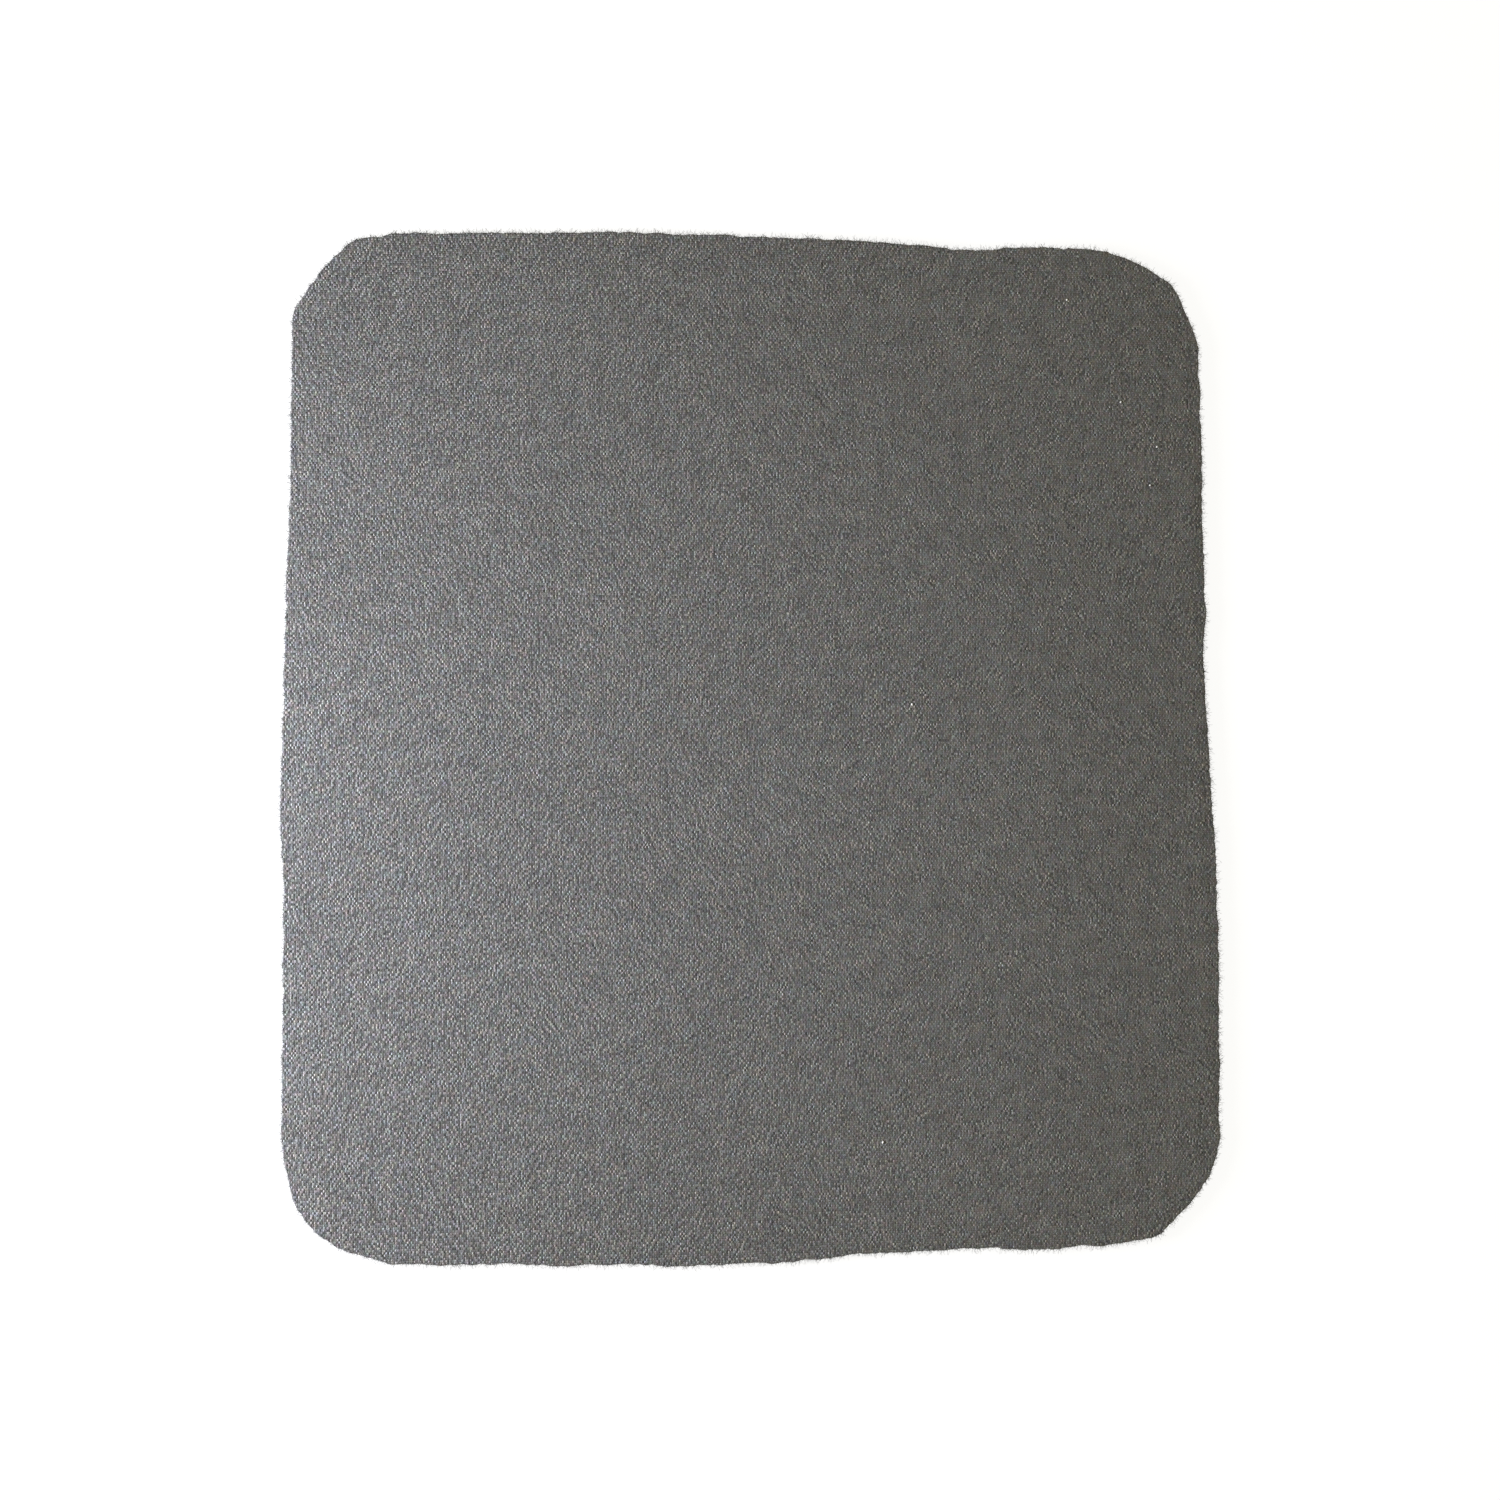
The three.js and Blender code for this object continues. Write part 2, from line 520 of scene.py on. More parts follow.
class Finish(Nodes):
    """A node material in the making."""

    def __init__(self, name):
        self.material = bpy.data.materials.new(name)
        super().__init__(self.material)

    def place(self):
        return self.add("ShaderNodeTexCoord", {}).outputs["Object"]

    def split(self, vector):
        node = self.add("ShaderNodeSeparateXYZ", {"Vector": vector})
        return node.outputs["X"], node.outputs["Y"], node.outputs["Z"]

    def join(self, x, y, z):
        return self.add("ShaderNodeCombineXYZ", {"X": x, "Y": y, "Z": z}).outputs["Vector"]

    def ramp(self, value, low, high, first=0.0, last=1.0):
        """Value from low to high becomes first to last, and stays within them."""
        inputs = {"Value": value, "From Min": low, "From Max": high, "To Min": first, "To Max": last}
        return self.add("ShaderNodeMapRange", inputs, clamp=True).outputs["Result"]

    def blend(self, factor, first, second):
        node = self.add("ShaderNodeMix", {0: factor}, data_type="FLOAT")
        self.plug(node.inputs[2], first)
        self.plug(node.inputs[3], second)
        return node.outputs[0]

    def blend_colour(self, factor, first, second):
        node = self.add("ShaderNodeMix", {0: factor}, data_type="RGBA")
        for index, colour in ((6, first), (7, second)):
            if not isinstance(colour, bpy.types.NodeSocket):
                colour = (*colour, 1)
            self.plug(node.inputs[index], colour)
        return node.outputs[2]

    def tint(self, colour, level):
        """A colour times a number."""
        node = self.add("ShaderNodeVectorMath", {0: colour, "Scale": level}, operation="SCALE")
        return node.outputs["Vector"]

    def cloud(self, place, size, detail=2.0, roughness=0.5):
        """Soft noise from 0 to 1 with features of a size in metres."""
        inputs = {"Vector": place, "Scale": 1 / size, "Detail": detail, "Roughness": roughness}
        return self.add("ShaderNodeTexNoise", inputs).outputs["Fac"]

    def vary(self, cloud, first=0.0, last=1.0):
        """Soft noise with its middle span stretched to run from first to last."""
        return self.ramp(cloud, *CLOUD_SPAN, first, last)

    def cells(self, place, size):
        """Distance from the middle of foam-like cells of a size in metres."""
        inputs = {"Vector": place, "Scale": 1 / size}
        return self.add("ShaderNodeTexVoronoi", inputs, feature="F1").outputs["Distance"]

    def luck(self, x, y):
        """A random number from -1 to 1 for each pair of numbers."""
        place = self.join(x, y, 0.0)
        node = self.add("ShaderNodeTexWhiteNoise", {"Vector": place}, noise_dimensions="2D")
        return self.math("MULTIPLY_ADD", node.outputs["Value"], 2.0, -1.0)

    def relief(self, height, distance):
        """A bump as high as distance where height is 1."""
        inputs = {"Height": height, "Distance": distance, "Strength": 1.0}
        return self.add("ShaderNodeBump", inputs).outputs["Normal"]

    def surface(self, colour, roughness, normal, **constants):
        inputs = {"Base Color": colour, "Roughness": roughness, "Normal": normal, **constants}
        shader = self.add("ShaderNodeBsdfPrincipled", inputs)
        self.add("ShaderNodeOutputMaterial", {"Surface": shader.outputs["BSDF"]})
        return self.material


def plain_weave(finish, place, cloth):
    """Sockets of a plain weave: the height from 0 to 1, 1 where a warp yarn is on top, the number
    of the warp yarn and that of the weft yarn."""
    inputs = {"Vector": place, "Scale": 1 / cloth.wander_size, "Detail": 3.0, "Roughness": 0.6}
    wander = finish.add("ShaderNodeTexNoise", inputs).outputs["Color"]
    moved = finish.add(
        "ShaderNodeVectorMath", {0: wander, 1: (cloth.wander, cloth.wander, 0.0), 2: place},
        operation="MULTIPLY_ADD")
    x, y, _ = finish.split(moved.outputs["Vector"])
    warp = finish.math("MULTIPLY", x, 1 / cloth.warp_pitch)
    weft = finish.math("MULTIPLY", y, 1 / cloth.weft_pitch)
    warp_wave = finish.math("SINE", finish.math("MULTIPLY", warp, math.pi))
    weft_wave = finish.math("SINE", finish.math("MULTIPLY", weft, math.pi))
    product = finish.math("MULTIPLY", warp_wave, weft_wave)
    over = finish.math("GREATER_THAN", product, 0.0)
    warp_arch = finish.math("ABSOLUTE", warp_wave)
    weft_arch = finish.math("ABSOLUTE", weft_wave)
    across = 1.2
    along = 0.5
    crown_share = 0.5
    warp_up = finish.math(
        "MULTIPLY", finish.math("POWER", warp_arch, across), finish.math("POWER", weft_arch, along))
    weft_up = finish.math(
        "MULTIPLY", finish.math("POWER", weft_arch, across), finish.math("POWER", warp_arch, along))
    yarn = finish.blend(over, weft_up, warp_up)
    crown = finish.ramp(product, -1.0, 1.0)
    height = finish.blend(crown_share, yarn, crown)
    return height, over, finish.math("FLOOR", warp), finish.math("FLOOR", weft)


def heather_tone(finish, place, warp, weft, cloth):
    """How bright each crossing of yarns is against a middling one. A crossing lacks some of the pale
    fibres that crowd into the one behind it, and into the one beside it on the side to which the
    nap leans. Towards the right the heather's contrast is flattened as painted shade for the duller light
    there, in small patches more or less."""
    lean = finish.math("SIGN", finish.math("SUBTRACT", finish.cloud(place, cloth.nap_size, 0.0), 0.5))
    beside = finish.luck(finish.math("ADD", warp, lean), weft)
    behind = finish.luck(warp, finish.math("ADD", weft, 1.0))
    crowd = finish.math("MULTIPLY_ADD", beside, -cloth.thin_beside, finish.luck(warp, weft))
    crowd = finish.math("MULTIPLY_ADD", behind, -cloth.thin_behind, crowd)
    crowd = finish.math("SUBTRACT", crowd, cloth.scarcity)
    # Painted shade: from left of the middle towards the right the heather's contrast is flattened, standing
    # in for the duller light on that side
    x, _, _ = finish.split(place)
    lit_end = -0.6 * HALF_WIDTH
    shaded_end = 0.5 * HALF_WIDTH
    flattened = finish.ramp(x, lit_end, shaded_end)
    patch_span = (0.35, 0.65)
    least = 0.35 * (1 - cloth.shade_flattening)
    most = 1.5 * (1 - cloth.shade_flattening)
    worn = finish.ramp(finish.cloud(place, cloth.wear_size, 2.0), *patch_span, least, most)
    contrast = finish.blend(flattened, 1.0, worn)
    tone = finish.math("POWER", cloth.heather, finish.math("MULTIPLY", crowd, contrast))
    return finish.math("MINIMUM", tone, cloth.palest)


def dyed(finish, place, cloth, blend):
    """The yarn's colour: a blend of cooler and warmer fibres that have taken the dyes unevenly."""
    inputs = {"Vector": place, "Scale": 1 / cloth.dye_size, "Detail": 2.0}
    uptake = finish.add("ShaderNodeTexNoise", inputs).outputs["Color"]
    least = 1 - cloth.dye_drift / 2
    drift = finish.add(
        "ShaderNodeVectorMath", {0: uptake, 1: (cloth.dye_drift,) * 3, 2: (least,) * 3},
        operation="MULTIPLY_ADD")
    fibres = finish.blend_colour(blend, cloth.cool_colour, cloth.warm_colour)
    product = finish.add(
        "ShaderNodeVectorMath", {0: fibres, 1: drift.outputs["Vector"]}, operation="MULTIPLY")
    return product.outputs["Vector"]


def woven_finish(cloth):
    """Matte polyester in a plain weave, heathered and mottled, with painted shade in the gaps between the
    yarns, a little painted light on the warp-over crossings, and the heather's contrast flattened on the
    right as painted shade.
    """
    patch_size = 38 * MM
    blend_size = 2.5 * MM
    filament_width = 0.04 * MM
    stretch = 0.12
    yarn_luck = 0.03
    finish = Finish("woven_polyester")
    place = finish.place()
    height, over, warp, weft = plain_weave(finish, place, cloth)

    # Painted shade: the gaps between the yarns are darker, and the yarns' crowns a little lighter
    gap = finish.ramp(height, 0.0, 0.8, 0.6, 1.1)
    # Painted light: crossings with the warp on top are a little lighter and those with the weft on top a
    # little darker, standing in for how the light falls on each
    side = finish.blend(over, 0.97, 1.03)
    crossing = heather_tone(finish, place, warp, weft, cloth)
    warp_tone = finish.math("MULTIPLY_ADD", finish.luck(warp, 0.5), yarn_luck, 1.0)
    weft_tone = finish.math("MULTIPLY_ADD", finish.luck(0.5, weft), yarn_luck, 1.0)
    patchy = finish.cloud(place, cloth.mottle_size, 3.0)
    mottle = finish.vary(patchy, 1 - cloth.mottle, 1 + cloth.mottle)
    patch = finish.vary(finish.cloud(place, patch_size, 2.0), 0.97, 1.03)
    tone = gap
    for factor in (side, crossing, warp_tone, weft_tone, mottle, patch):
        tone = finish.math("MULTIPLY", tone, factor)

    drift = finish.vary(finish.cloud(place, blend_size, 3.0))
    blend = finish.math("MULTIPLY_ADD", finish.luck(weft, warp), 0.25, drift, clamp=True)
    colour = finish.tint(dyed(finish, place, cloth, blend), tone)

    x, y, _ = finish.split(place)
    warpwise = finish.join(x, finish.math("MULTIPLY", y, stretch), 0.0)
    along_warp = finish.cloud(warpwise, filament_width, 1.0)
    weftwise = finish.join(finish.math("MULTIPLY", x, stretch), y, 0.0)
    along_weft = finish.cloud(weftwise, filament_width, 1.0)
    filament = finish.blend(over, along_weft, along_warp)
    raised = finish.math("MULTIPLY_ADD", filament, 0.03, height)
    normal = finish.relief(raised, cloth.relief)
    roughness = finish.vary(filament, 0.82, 0.95)
    return finish.surface(colour, roughness, normal, **{
        "Specular IOR Level": 0.25, "Sheen Weight": 0.12, "Sheen Roughness": 0.45,
        "Sheen Tint": (0.75, 0.76, 0.8, 1)})


def yarn_finish(cloth):
    """The cut ends of the same yarn, speckled darker and paler."""
    speckle_size = 0.5 * MM
    blend_size = 0.7 * MM
    strand_width = 0.05 * MM
    strand_relief = 0.01 * MM
    finish = Finish("cut_yarn")
    place = finish.place()
    speckle = finish.vary(finish.cloud(place, speckle_size, 2.0), 0.8, 1.65)
    blend = finish.cloud(place, blend_size)
    colour = finish.tint(finish.blend_colour(blend, cloth.cool_colour, cloth.warm_colour), speckle)
    strand = finish.cloud(place, strand_width, 2.0)
    normal = finish.relief(strand, strand_relief)
    roughness = finish.vary(strand, 0.8, 0.95)
    return finish.surface(colour, roughness, normal, **{"Specular IOR Level": 0.25})


def fibre_finish(fray):
    """Loose fibres, paler and smoother in some places than in others."""
    speckle_size = 0.4 * MM
    scale_size = 0.03 * MM
    scale_relief = 0.004 * MM
    finish = Finish("loose_fibre")
    place = finish.place()
    speckle = finish.cloud(place, speckle_size, 2.0)
    colour = finish.tint(fray.fibre_colour[:], finish.vary(speckle, 0.7, 1.35))
    normal = finish.relief(finish.cloud(place, scale_size), scale_relief)
    return finish.surface(colour, finish.vary(speckle, 0.9, 0.75), normal, **{
        "Specular IOR Level": 0.25})


def glue_finish(film):
    """Set hot-melt glue, slightly cloudy."""
    cloud_size = 1.5 * MM
    ripple_size = 0.2 * MM
    ripple_relief = 0.02 * MM
    finish = Finish("set_glue")
    place = finish.place()
    cloud = finish.cloud(place, cloud_size, 3.0)
    colour = finish.tint(film.colour[:], finish.vary(cloud, 0.75, 1.2))
    normal = finish.relief(finish.cloud(place, ripple_size, 2.0), ripple_relief)
    return finish.surface(colour, finish.vary(cloud, 0.35, 0.6), normal)


def cut_foam_finish(foam):
    """Foam rubber where the die has cut through its air cells, with painted shade deep in the open cells."""
    small_cell = foam.cell / 2.6
    dust_size = 0.9 * MM
    cell_relief = 0.07 * MM
    finish = Finish("cut_foam")
    place = finish.place()
    large = finish.cells(place, foam.cell)
    small = finish.cells(place, small_cell)
    pit = finish.math(
        "MULTIPLY", finish.ramp(large, 0.0, 0.55), finish.ramp(small, 0.0, 0.5, 0.4, 1.0))
    dust = finish.ramp(finish.cloud(place, dust_size, 3.0, 0.6), 0.35, 0.7, 0.8, 1.5)
    # Painted shade: the open air cells are darker the deeper they lie, down to about a third of the wall's
    # colour
    tone = finish.math("MULTIPLY", finish.ramp(pit, 0.0, 1.0, 0.35, 1.25), dust)
    colour = finish.tint(foam.wall_colour[:], tone)
    normal = finish.relief(pit, cell_relief)
    return finish.surface(colour, finish.ramp(pit, 0.0, 1.0, 0.98, 0.85), normal, **{
        "Specular IOR Level": 0.3})


def foam_skin_finish(foam):
    """The moulded skin of the underside, tacky and fine-grained, scuffed on the ribs."""
    grain_size = 0.18 * MM
    grain_relief = 0.02 * MM
    scuff_size = 9 * MM
    fresh_roughness = 0.78
    polish = 0.2
    finish = Finish("foam_skin")
    place = finish.place()
    _, _, z = finish.split(place)
    rib = finish.ramp(z, 0.0, foam.grip_depth, 1.0, 0.0)
    grain = finish.cloud(place, grain_size, 3.0, 0.65)
    scuff = finish.ramp(finish.cloud(place, scuff_size, 4.0, 0.6), 0.4, 0.75, 0.0, 1.0)
    worn = finish.math("MULTIPLY", rib, scuff)
    tone = finish.math(
        "MULTIPLY", finish.vary(grain, 0.85, 1.15), finish.ramp(worn, 0.0, 1.0, 1.0, 2.0))
    colour = finish.tint(foam.skin_colour[:], tone)
    normal = finish.relief(grain, grain_relief)
    roughness = finish.math("SUBTRACT", fresh_roughness, finish.math("MULTIPLY", worn, polish))
    return finish.surface(colour, roughness, normal, **{"Specular IOR Level": 0.4})


def lint_finish(lint):
    """Pale dust and fibre."""
    fluff_size = 0.12 * MM
    fluff_relief = 0.02 * MM
    finish = Finish("pale_lint")
    place = finish.place()
    fluff = finish.cloud(place, fluff_size, 3.0)
    colour = finish.tint(lint.colour[:], finish.vary(fluff, 0.8, 1.15))
    normal = finish.relief(fluff, fluff_relief)
    return finish.surface(colour, finish.vary(fluff, 0.85, 0.95), normal)


def cloth_surface(edge, cloth):
    """A function that gives the height of the cloth's face over a point."""
    slow_size = 58 * MM
    quick_size = 17 * MM
    quick_level = 20 * MM
    quick_share = 0.35

    def height(x, y):
        slow = noise.noise(Vector((x, y, 0)) / slow_size)
        quick = noise.noise(Vector((x, y, quick_level)) / quick_size)
        wave = cloth.swell * (slow + quick_share * quick)
        depth = min(max(depth_inside(edge, x, y) - cloth.rim_width, 0) / cloth.pinch_width, 1)
        return CLOTH_HIGH.z + wave - cloth.pinch_depth * (1 - ease(depth))

    return height


class MOUSEPAD_OT_cloth(Operator):
    """Weave the cloth that the mouse runs on, with its rolled and pressed rim."""

    bl_idname = "mousepad.cloth"
    bl_label = "Cloth"

    def execute(self, context):
        edge = context.scene.pad_edge
        cloth = context.scene.pad_cloth
        line = CutLine(edge, edge.stops)
        surface = cloth_surface(edge, cloth)

        foot = CLOTH_LOW.z
        foot_inset = 0.05 * MM
        foot_height = 0.06 * MM
        yarn_end = 0.04 * MM
        yarn_grain = 0.4 * MM
        shoulder = CLOTH_HIGH.z - cloth.rim_drop - cloth.pinch_depth
        rings = [
            line.ring(foot_inset, foot, yarn_end, yarn_grain),
            line.ring(0, foot + foot_height, yarn_end, yarn_grain),
        ]
        steps = 5
        for step in range(steps + 1):
            angle = step / steps * math.pi / 2
            inset = cloth.rim_width * (1 - math.cos(angle))
            ring = line.ring(inset, shoulder, yarn_end * math.cos(angle), yarn_grain)
            for point in ring:
                rise = surface(point.x, point.y) - shoulder
                point.z += rise * math.sin(angle)
            rings.append(ring)
        band_shares = (0.25, 0.5, 0.75, 1.0)
        for share in band_shares:
            ring = line.ring(cloth.rim_width + cloth.pinch_width * share, shoulder)
            for point in ring:
                point.z = surface(point.x, point.y)
            rings.append(ring)

        bm = bmesh.new()
        turns = loft(bm, rings)
        clearance = 1.2 * MM
        margin = cloth.rim_width + cloth.pinch_width + cloth.mesh_step + clearance
        cap(bm, turns[-1], True, inner_grid(edge, cloth.mesh_step, margin), surface)
        cap(bm, turns[0], False)
        piece = make_piece("woven_cloth", bm, ["top_cloth"])
        piece.data.materials.append(woven_finish(cloth))
        return {"FINISHED"}


def yarn_crossings(points, cloth):
    """Where the yarns meet the rim: rows of place, direction of the yarn and how squarely it meets
    the rim, from 0 to 1."""
    crossings = []
    for start, end in zip(points, points[1:] + points[:1]):
        run = end - start
        outwards = Vector((run.y, -run.x)).normalized()
        for axis, pitch in ((0, cloth.warp_pitch), (1, cloth.weft_pitch)):
            along = Vector((0, 0))
            along[1 - axis] = 1 if outwards[1 - axis] > 0 else -1
            slant = along.dot(outwards)
            low, high = sorted((start[axis], end[axis]))
            number = math.ceil(low / pitch - 0.5)
            while (number + 0.5) * pitch < high:
                share = ((number + 0.5) * pitch - start[axis]) / run[axis]
                crossings.append((start.lerp(end, share), along, slant))
                number += 1
    return crossings


class MOUSEPAD_OT_fray(Operator):
    """Fray the cut ends of the yarns round the rim."""

    bl_idname = "mousepad.fray"
    bl_label = "Frayed ends"

    def execute(self, context):
        edge = context.scene.pad_edge
        cloth = context.scene.pad_cloth
        fray = context.scene.pad_fray
        chance = random.Random(7)
        inset = 0.06 * MM
        sunk = 0.1 * MM
        least_slant = 0.35
        most_lean = 0.3
        most_rise = 0.1
        radius_shares = (0.7, 1.1)
        taper_start = 0.6
        tip_share = 0.7
        rim = [point.to_2d() for point in CutLine(edge, edge.stops).ring(inset, 0)]
        low = CLOTH_LOW.z + fray.yarn_radius
        high = CLOTH_HIGH.z - cloth.rim_drop

        bm = bmesh.new()
        for place, along, slant in yarn_crossings(rim, cloth):
            if slant < least_slant:
                continue
            length = chance.uniform(fray.shortest, fray.longest)
            root = Vector((place.x, place.y, chance.uniform(low, high))) - sunk * along.to_3d()
            lean = Vector((
                chance.uniform(-most_lean, most_lean), chance.uniform(-most_lean, most_lean),
                chance.uniform(-most_lean, most_rise)))
            tip = root + (length + sunk) * (along.to_3d() + lean).normalized()
            radius = fray.yarn_radius * chance.uniform(*radius_shares)
            points = (root, root.lerp(tip, taper_start), tip)
            tube(bm, points, (radius, radius, tip_share * radius), sides=5)
        piece = make_piece("frayed_ends", bm)
        piece.data.materials.append(yarn_finish(cloth))
        return {"FINISHED"}


class MOUSEPAD_OT_fuzz(Operator):
    """Let loose fibres stand out all round the rolled rim."""

    bl_idname = "mousepad.fuzz"
    bl_label = "Edge fuzz"

    def execute(self, context):
        edge = context.scene.pad_edge
        cloth = context.scene.pad_cloth
        fray = context.scene.pad_fray
        stops = CutLine(edge, edge.stops).stops
        chance = random.Random(11)
        shoulder = CLOTH_HIGH.z - cloth.rim_drop - cloth.pinch_depth
        sunk = 0.08 * MM
        side_spread = 0.5
        crown_rise = 0.5
        rise_spread = 0.25
        side_curl = 0.35
        droop = 0.1
        droop_spread = 0.25
        parts = 2

        bm = bmesh.new()
        for _ in range(fray.fibre_count):
            place, outwards, bulge = chance.choice(stops)
            sideways = Vector((-outwards.y, outwards.x, 0))
            climb = chance.uniform(-1, 1)
            roll = max(climb, 0) * math.pi / 2
            inset = cloth.rim_width * (1 - math.cos(roll))
            root = (place + outwards * (bulge - inset - sunk)).to_3d()
            root.z = shoulder + min(climb, 0) * (shoulder - CLOTH_LOW.z) + cloth.rim_drop * math.sin(roll)
            heading = outwards.to_3d() + chance.gauss(0, side_spread) * sideways
            heading.z = crown_rise * math.sin(roll) + chance.gauss(0, rise_spread)
            curl = chance.gauss(0, side_curl) * sideways
            curl.z = chance.gauss(-droop, droop_spread)
            length = sunk + min(chance.expovariate(1 / fray.fibre_length), fray.fibre_limit)
            points = [root]
            for _ in range(parts):
                heading = (heading + curl).normalized()
                points.append(points[-1] + heading * length / parts)
            tube(bm, points, [fray.fibre_radius] * len(points), sides=3)
        piece = make_piece("edge_fuzz", bm)
        piece.data.materials.append(fibre_finish(fray))
        return {"FINISHED"}


class MOUSEPAD_OT_film(Operator):
    """Spread the film of glue that bonds the cloth to the foam."""

    bl_idname = "mousepad.film"
    bl_label = "Glue film"

    def execute(self, context):
        edge = context.scene.pad_edge
        film = context.scene.pad_film
        line = CutLine(edge, edge.stops // 2)
        middle = (FILM_LOW.z + FILM_HIGH.z) / 2
        bead = 0.04 * MM
        grain = 3 * MM
        bm = bmesh.new()
        turns = loft(bm, [
            line.ring(film.shrink, FILM_LOW.z, film.unevenness, grain),
            line.ring(film.shrink - bead, middle, film.unevenness, grain),
            line.ring(film.shrink, FILM_HIGH.z, film.unevenness, grain),
        ])
        cap(bm, turns[-1], True)
        cap(bm, turns[0], False)
        piece = make_piece("glue_film", bm, ["bonding_film"])
        piece.data.materials.append(glue_finish(film))
        return {"FINISHED"}


def grip_slab(foam):
    """A slab with the grip pattern pressed into its underside, larger than the pad all round."""
    pitch = foam.grip_pitch
    lip = foam.grip_rib / 2
    floor = lip + foam.grip_slope
    columns = 2 * math.ceil((HALF_WIDTH + pitch) / pitch)
    rows = 2 * math.ceil((HALF_DEPTH + pitch) / pitch)
    bm = bmesh.new()
    pits = {}
    for column in range(columns):
        for row in range(rows):
            x = (column - columns / 2) * pitch
            y = (row - rows / 2) * pitch
            mouth = []
            bottom = []
            for far_x, far_y in ((0, 0), (1, 0), (1, 1), (0, 1)):
                lip_x = pitch - lip if far_x else lip
                lip_y = pitch - lip if far_y else lip
                floor_x = pitch - floor if far_x else floor
                floor_y = pitch - floor if far_y else floor
                mouth.append(bm.verts.new((x + lip_x, y + lip_y, 0)))
                bottom.append(bm.verts.new((x + floor_x, y + floor_y, foam.grip_depth)))
            bm.faces.new(reversed(bottom))
            for index in range(4):
                after = (index + 1) % 4
                bm.faces.new((mouth[after], mouth[index], bottom[index], bottom[after]))
            pits[column, row] = mouth
    for (column, row), mouth in pits.items():
        right = pits.get((column + 1, row))
        back = pits.get((column, row + 1))
        corner = pits.get((column + 1, row + 1))
        if right:
            bm.faces.new((mouth[2], right[3], right[0], mouth[1]))
        if back:
            bm.faces.new((mouth[3], back[0], back[1], mouth[2]))
        if corner:
            bm.faces.new((mouth[2], back[1], corner[0], right[3]))
    rim = [side for side in bm.edges if side.is_boundary]
    walls = bmesh.ops.extrude_edge_only(bm, edges=rim)["geom"]
    tops = [part for part in walls if isinstance(part, bmesh.types.BMVert)]
    for vertex in tops:
        vertex.co.z = FOAM_HIGH.z + pitch
    bmesh.ops.contextual_create(bm, geom=[side for side in bm.edges if side.is_boundary])
    bmesh.ops.recalc_face_normals(bm, faces=bm.faces)
    return bm


class MOUSEPAD_OT_foam(Operator):
    """Mould the foam rubber base with its grip pattern and cut it out with the die."""

    bl_idname = "mousepad.foam"
    bl_label = "Foam base"

    def execute(self, context):
        edge = context.scene.pad_edge
        foam = context.scene.pad_foam
        line = CutLine(edge, edge.stops)

        levels = 10
        overrun = 1 * MM
        grain = 0.7 * MM
        rings = [line.ring(0, -overrun, foam.tear, grain)]
        for level in range(levels + 1):
            share = level / levels
            inset = foam.hollow * math.sin(share * math.pi) + foam.shoulder * share
            rings.append(line.ring(inset, FOAM_HIGH.z * share, foam.tear, grain))
        cutter = bmesh.new()
        turns = loft(cutter, rings)
        cap(cutter, turns[-1], True)
        cap(cutter, turns[0], False)
        bmesh.ops.recalc_face_normals(cutter, faces=cutter.faces)
        die = object_from(cutter, "die")
        slab = object_from(grip_slab(foam), "slab")

        cut = slab.modifiers.new("cut", "BOOLEAN")
        cut.operation = "INTERSECT"
        cut.solver = "MANIFOLD"
        cut.object = die
        evaluated = slab.evaluated_get(context.evaluated_depsgraph_get())
        bm = bmesh.new()
        bm.from_mesh(evaluated.to_mesh())
        evaluated.to_mesh_clear()
        for helper in (die, slab):
            mesh = helper.data
            bpy.data.objects.remove(helper)
            bpy.data.meshes.remove(mesh)

        piece = make_piece("foam_rubber_base", bm, ["foam_base"], math.radians(25))
        piece.data.materials.append(cut_foam_finish(foam))
        piece.data.materials.append(foam_skin_finish(foam))
        downward = -0.2
        moulded_height = 1.01 * foam.grip_depth
        for face in piece.data.polygons:
            moulded = face.normal.z < downward and face.center.z < moulded_height
            face.material_index = 1 if moulded else 0
        return {"FINISHED"}


def object_from(bm, name):
    """An object from a mesh, with no body to ride on: a helper for the cut, or the table top."""
    mesh = bpy.data.meshes.new(name)
    bm.to_mesh(mesh)
    bm.free()
    made = bpy.data.objects.new(name, mesh)
    bpy.context.scene.collection.objects.link(made)
    return made


class MOUSEPAD_OT_lint(Operator):
    """Drop scraps of pale lint on the cloth."""

    bl_idname = "mousepad.lint"
    bl_label = "Lint"

    def execute(self, context):
        edge = context.scene.pad_edge
        cloth = context.scene.pad_cloth
        lint = context.scene.pad_lint
        surface = cloth_surface(edge, cloth)
        chance = random.Random(21)
        thickness_shares = (0.35, 0.8, 1.0, 0.9, 0.7, 0.3)
        steps = len(thickness_shares) - 1
        length_shares = (0.5, 1.2)
        most_turn = 1.6
        end_lift = 0.7
        arch = 0.6
        bm = bmesh.new()
        for x, y in LINT_PLACES:
            heading = chance.uniform(0, 2 * math.pi)
            length = lint.length * chance.uniform(*length_shares)
            turn = chance.uniform(-most_turn, most_turn)
            point = Vector((x * MM, y * MM))
            points = []
            for step in range(steps + 1):
                lift = lint.radius * (end_lift + arch * math.sin(step / steps * math.pi))
                points.append(Vector((point.x, point.y, surface(point.x, point.y) + lift)))
                angle = heading + turn * step / steps
                point = point + Vector((math.cos(angle), math.sin(angle))) * length / steps
            tube(bm, points, [lint.radius * share for share in thickness_shares], sides=6)
        piece = make_piece("settled_lint", bm)
        piece.data.materials.append(lint_finish(lint))
        return {"FINISHED"}


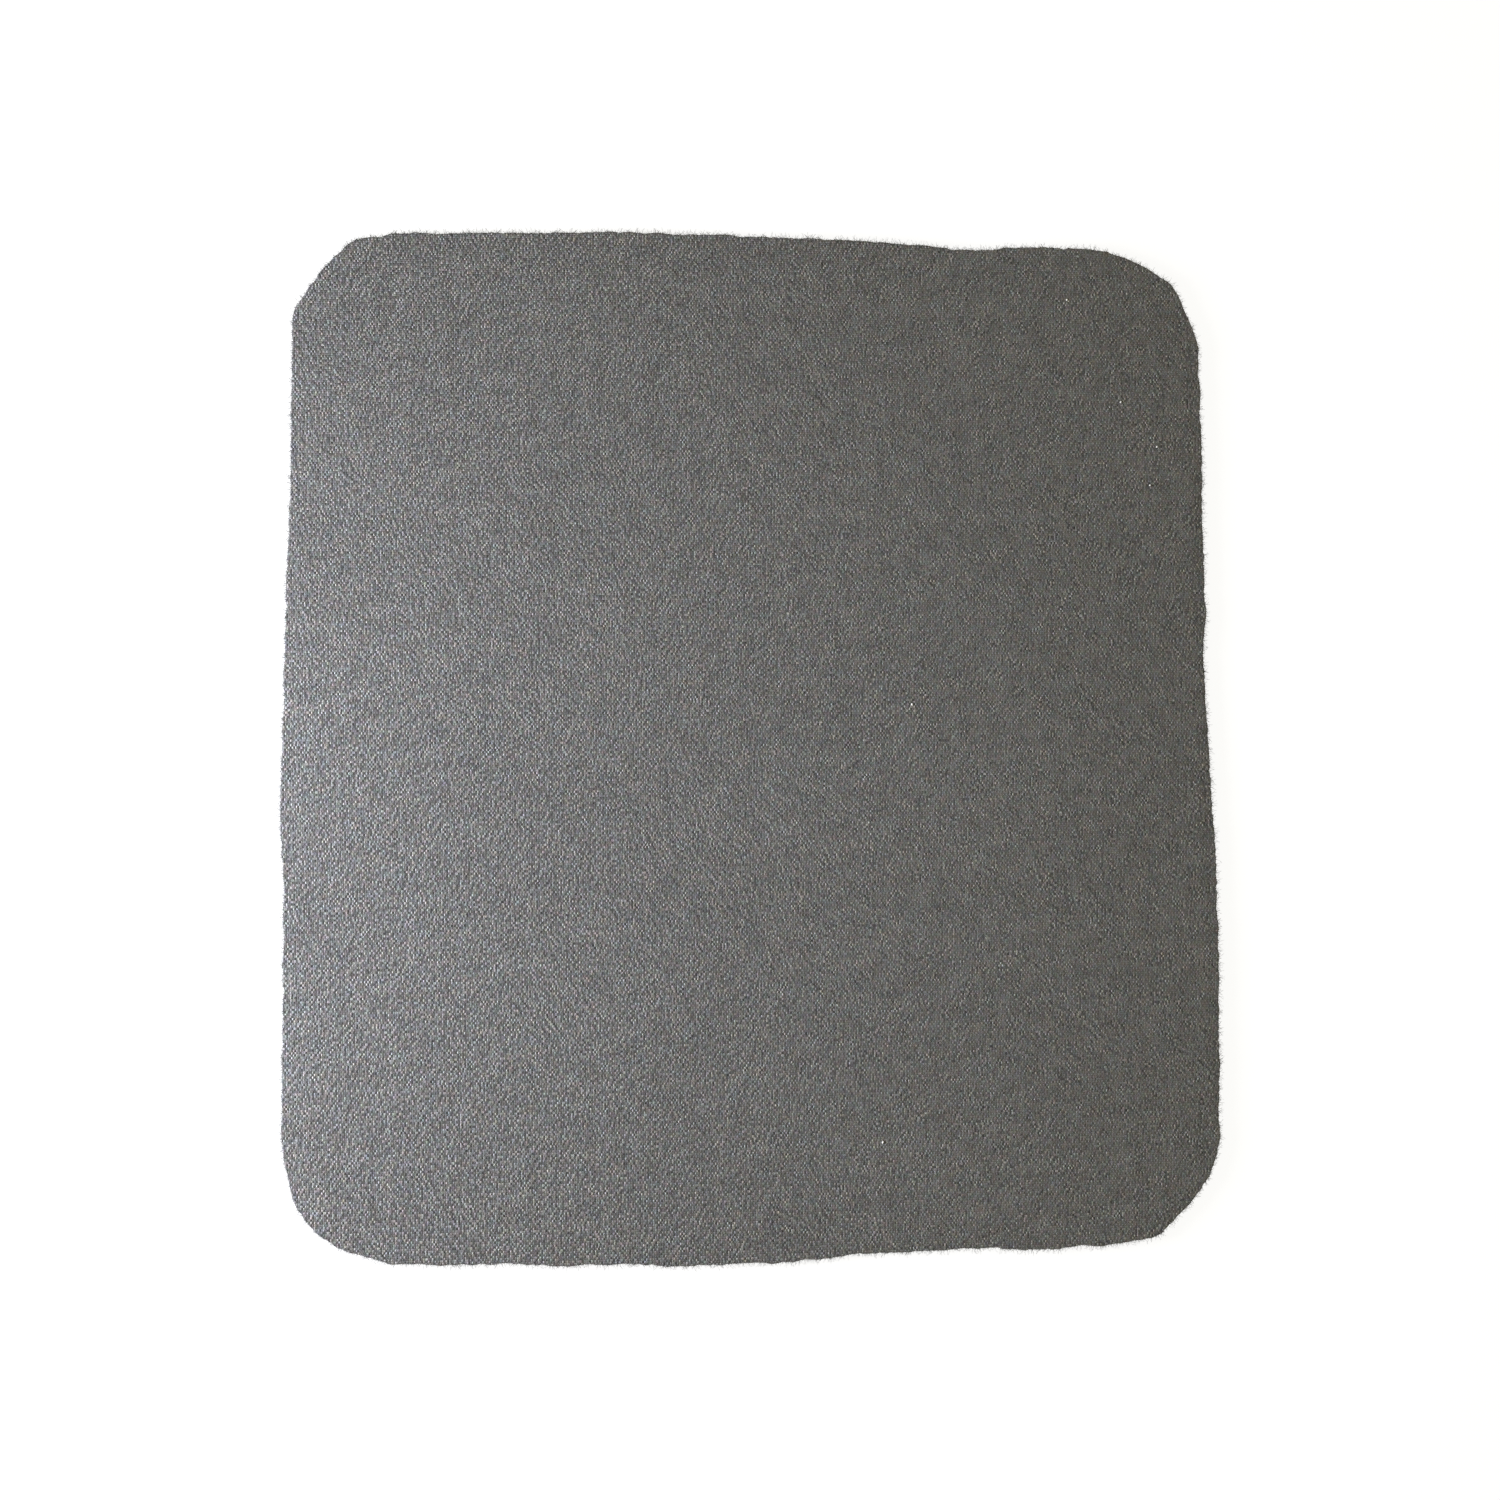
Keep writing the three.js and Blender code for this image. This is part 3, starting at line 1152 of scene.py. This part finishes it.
def plain_table(stage):
    """A pale table top that shows as plain white and keeps the pad's shadow."""
    finish = Finish("pale_table")
    seen = finish.seen()
    colour = finish.tint(stage.table_colour[:], finish.blend(seen, 1.0, stage.table_shade))
    paint = finish.add("ShaderNodeBsdfDiffuse", {"Color": colour})
    glow = finish.add("ShaderNodeEmission", {"Strength": finish.math("MULTIPLY", seen, stage.table_glow)})
    both = finish.add("ShaderNodeAddShader", {0: paint.outputs[0], 1: glow.outputs[0]})
    finish.add("ShaderNodeOutputMaterial", {"Surface": both.outputs[0]})
    return finish.material


def soft_room(stage):
    """The light of a room, which shows as plain white."""
    world = bpy.data.worlds.new("room")
    nodes = Nodes(world)
    room = nodes.add(
        "ShaderNodeBackground", {"Color": (*stage.room_colour, 1), "Strength": stage.room_level})
    white = nodes.add("ShaderNodeBackground", {"Color": (1, 1, 1, 1), "Strength": 1.0})
    mix = nodes.add("ShaderNodeMixShader", {0: nodes.seen(), 1: room.outputs[0], 2: white.outputs[0]})
    nodes.add("ShaderNodeOutputWorld", {"Surface": mix.outputs[0]})
    return world


class MOUSEPAD_OT_stage(Operator):
    """Set up the camera, the soft lamp, the light of the room and the table."""

    bl_idname = "mousepad.stage"
    bl_label = "Stage"

    def execute(self, context):
        scene = context.scene
        stage = scene.pad_stage
        scene.view_settings.view_transform = "Standard"

        place = Vector(stage.camera_place)
        forward = (Vector(stage.camera_aim) - place).normalized()
        right = forward.cross(Vector((0, 1, 0))).normalized()
        upright = right.cross(forward)
        turn = Matrix((right, upright, -forward)).transposed() @ Matrix.Rotation(stage.camera_roll, 3, "Z")
        camera = bpy.data.objects.new("camera", bpy.data.cameras.new("camera"))
        camera.data.lens = stage.camera_lens
        camera.data.sensor_width = 36
        camera.matrix_world = Matrix.Translation(place) @ turn.to_4x4()
        scene.collection.objects.link(camera)
        scene.camera = camera

        lamp = bpy.data.objects.new("soft_lamp", bpy.data.lights.new("soft_lamp", "AREA"))
        lamp.data.shape = "DISK"
        lamp.data.size = stage.lamp_size
        lamp.data.energy = stage.lamp_power
        lamp.data.color = stage.lamp_colour
        lamp.location = stage.lamp_place
        lamp.rotation_mode = "QUATERNION"
        lamp.rotation_quaternion = Vector(stage.lamp_place).to_track_quat("Z", "Y")
        lamp.visible_camera = False
        scene.collection.objects.link(lamp)

        scene.world = soft_room(stage)

        half = stage.table_size / 2
        sag = 0.02 * MM
        bm = bmesh.new()
        corners = [(-half, -half), (half, -half), (half, half), (-half, half)]
        bm.faces.new([bm.verts.new((x, y, -sag)) for x, y in corners])
        table = object_from(bm, "table_top")
        table.data.materials.append(plain_table(stage))
        return {"FINISHED"}


class MOUSEPAD_PT_panel(Panel):
    """The mouse pad's pieces and sizes, in the sidebar."""

    bl_idname = "MOUSEPAD_PT_panel"
    bl_label = "Mouse Pad"
    bl_space_type = "VIEW_3D"
    bl_region_type = "UI"
    bl_category = "Mouse Pad"

    def draw(self, context):
        for operator in OPERATORS:
            self.layout.operator(operator.bl_idname)
        for name, settings in SETTINGS.items():
            box = self.layout.box()
            group = getattr(context.scene, name)
            for setting in settings.__annotations__:
                box.prop(group, setting)


OPERATORS = (
    MOUSEPAD_OT_stage,
    MOUSEPAD_OT_foam,
    MOUSEPAD_OT_film,
    MOUSEPAD_OT_cloth,
    MOUSEPAD_OT_fray,
    MOUSEPAD_OT_fuzz,
    MOUSEPAD_OT_lint,
)
SETTINGS = {
    "pad_edge": EdgeSettings,
    "pad_cloth": ClothSettings,
    "pad_fray": FraySettings,
    "pad_film": FilmSettings,
    "pad_foam": FoamSettings,
    "pad_lint": LintSettings,
    "pad_stage": StageSettings,
}


def register():
    for kind in (*SETTINGS.values(), *OPERATORS, MOUSEPAD_PT_panel):
        bpy.utils.register_class(kind)
    for name, settings in SETTINGS.items():
        setattr(bpy.types.Scene, name, PointerProperty(type=settings))


def unregister():
    for name in SETTINGS:
        delattr(bpy.types.Scene, name)
    for kind in (MOUSEPAD_PT_panel, *reversed(OPERATORS), *reversed(SETTINGS.values())):
        bpy.utils.unregister_class(kind)


def main():
    register()
    bpy.ops.mousepad.stage()
    bpy.ops.mousepad.foam()
    bpy.ops.mousepad.film()
    bpy.ops.mousepad.cloth()
    bpy.ops.mousepad.fray()
    bpy.ops.mousepad.fuzz()
    bpy.ops.mousepad.lint()


if __name__ == "__main__":
    main()
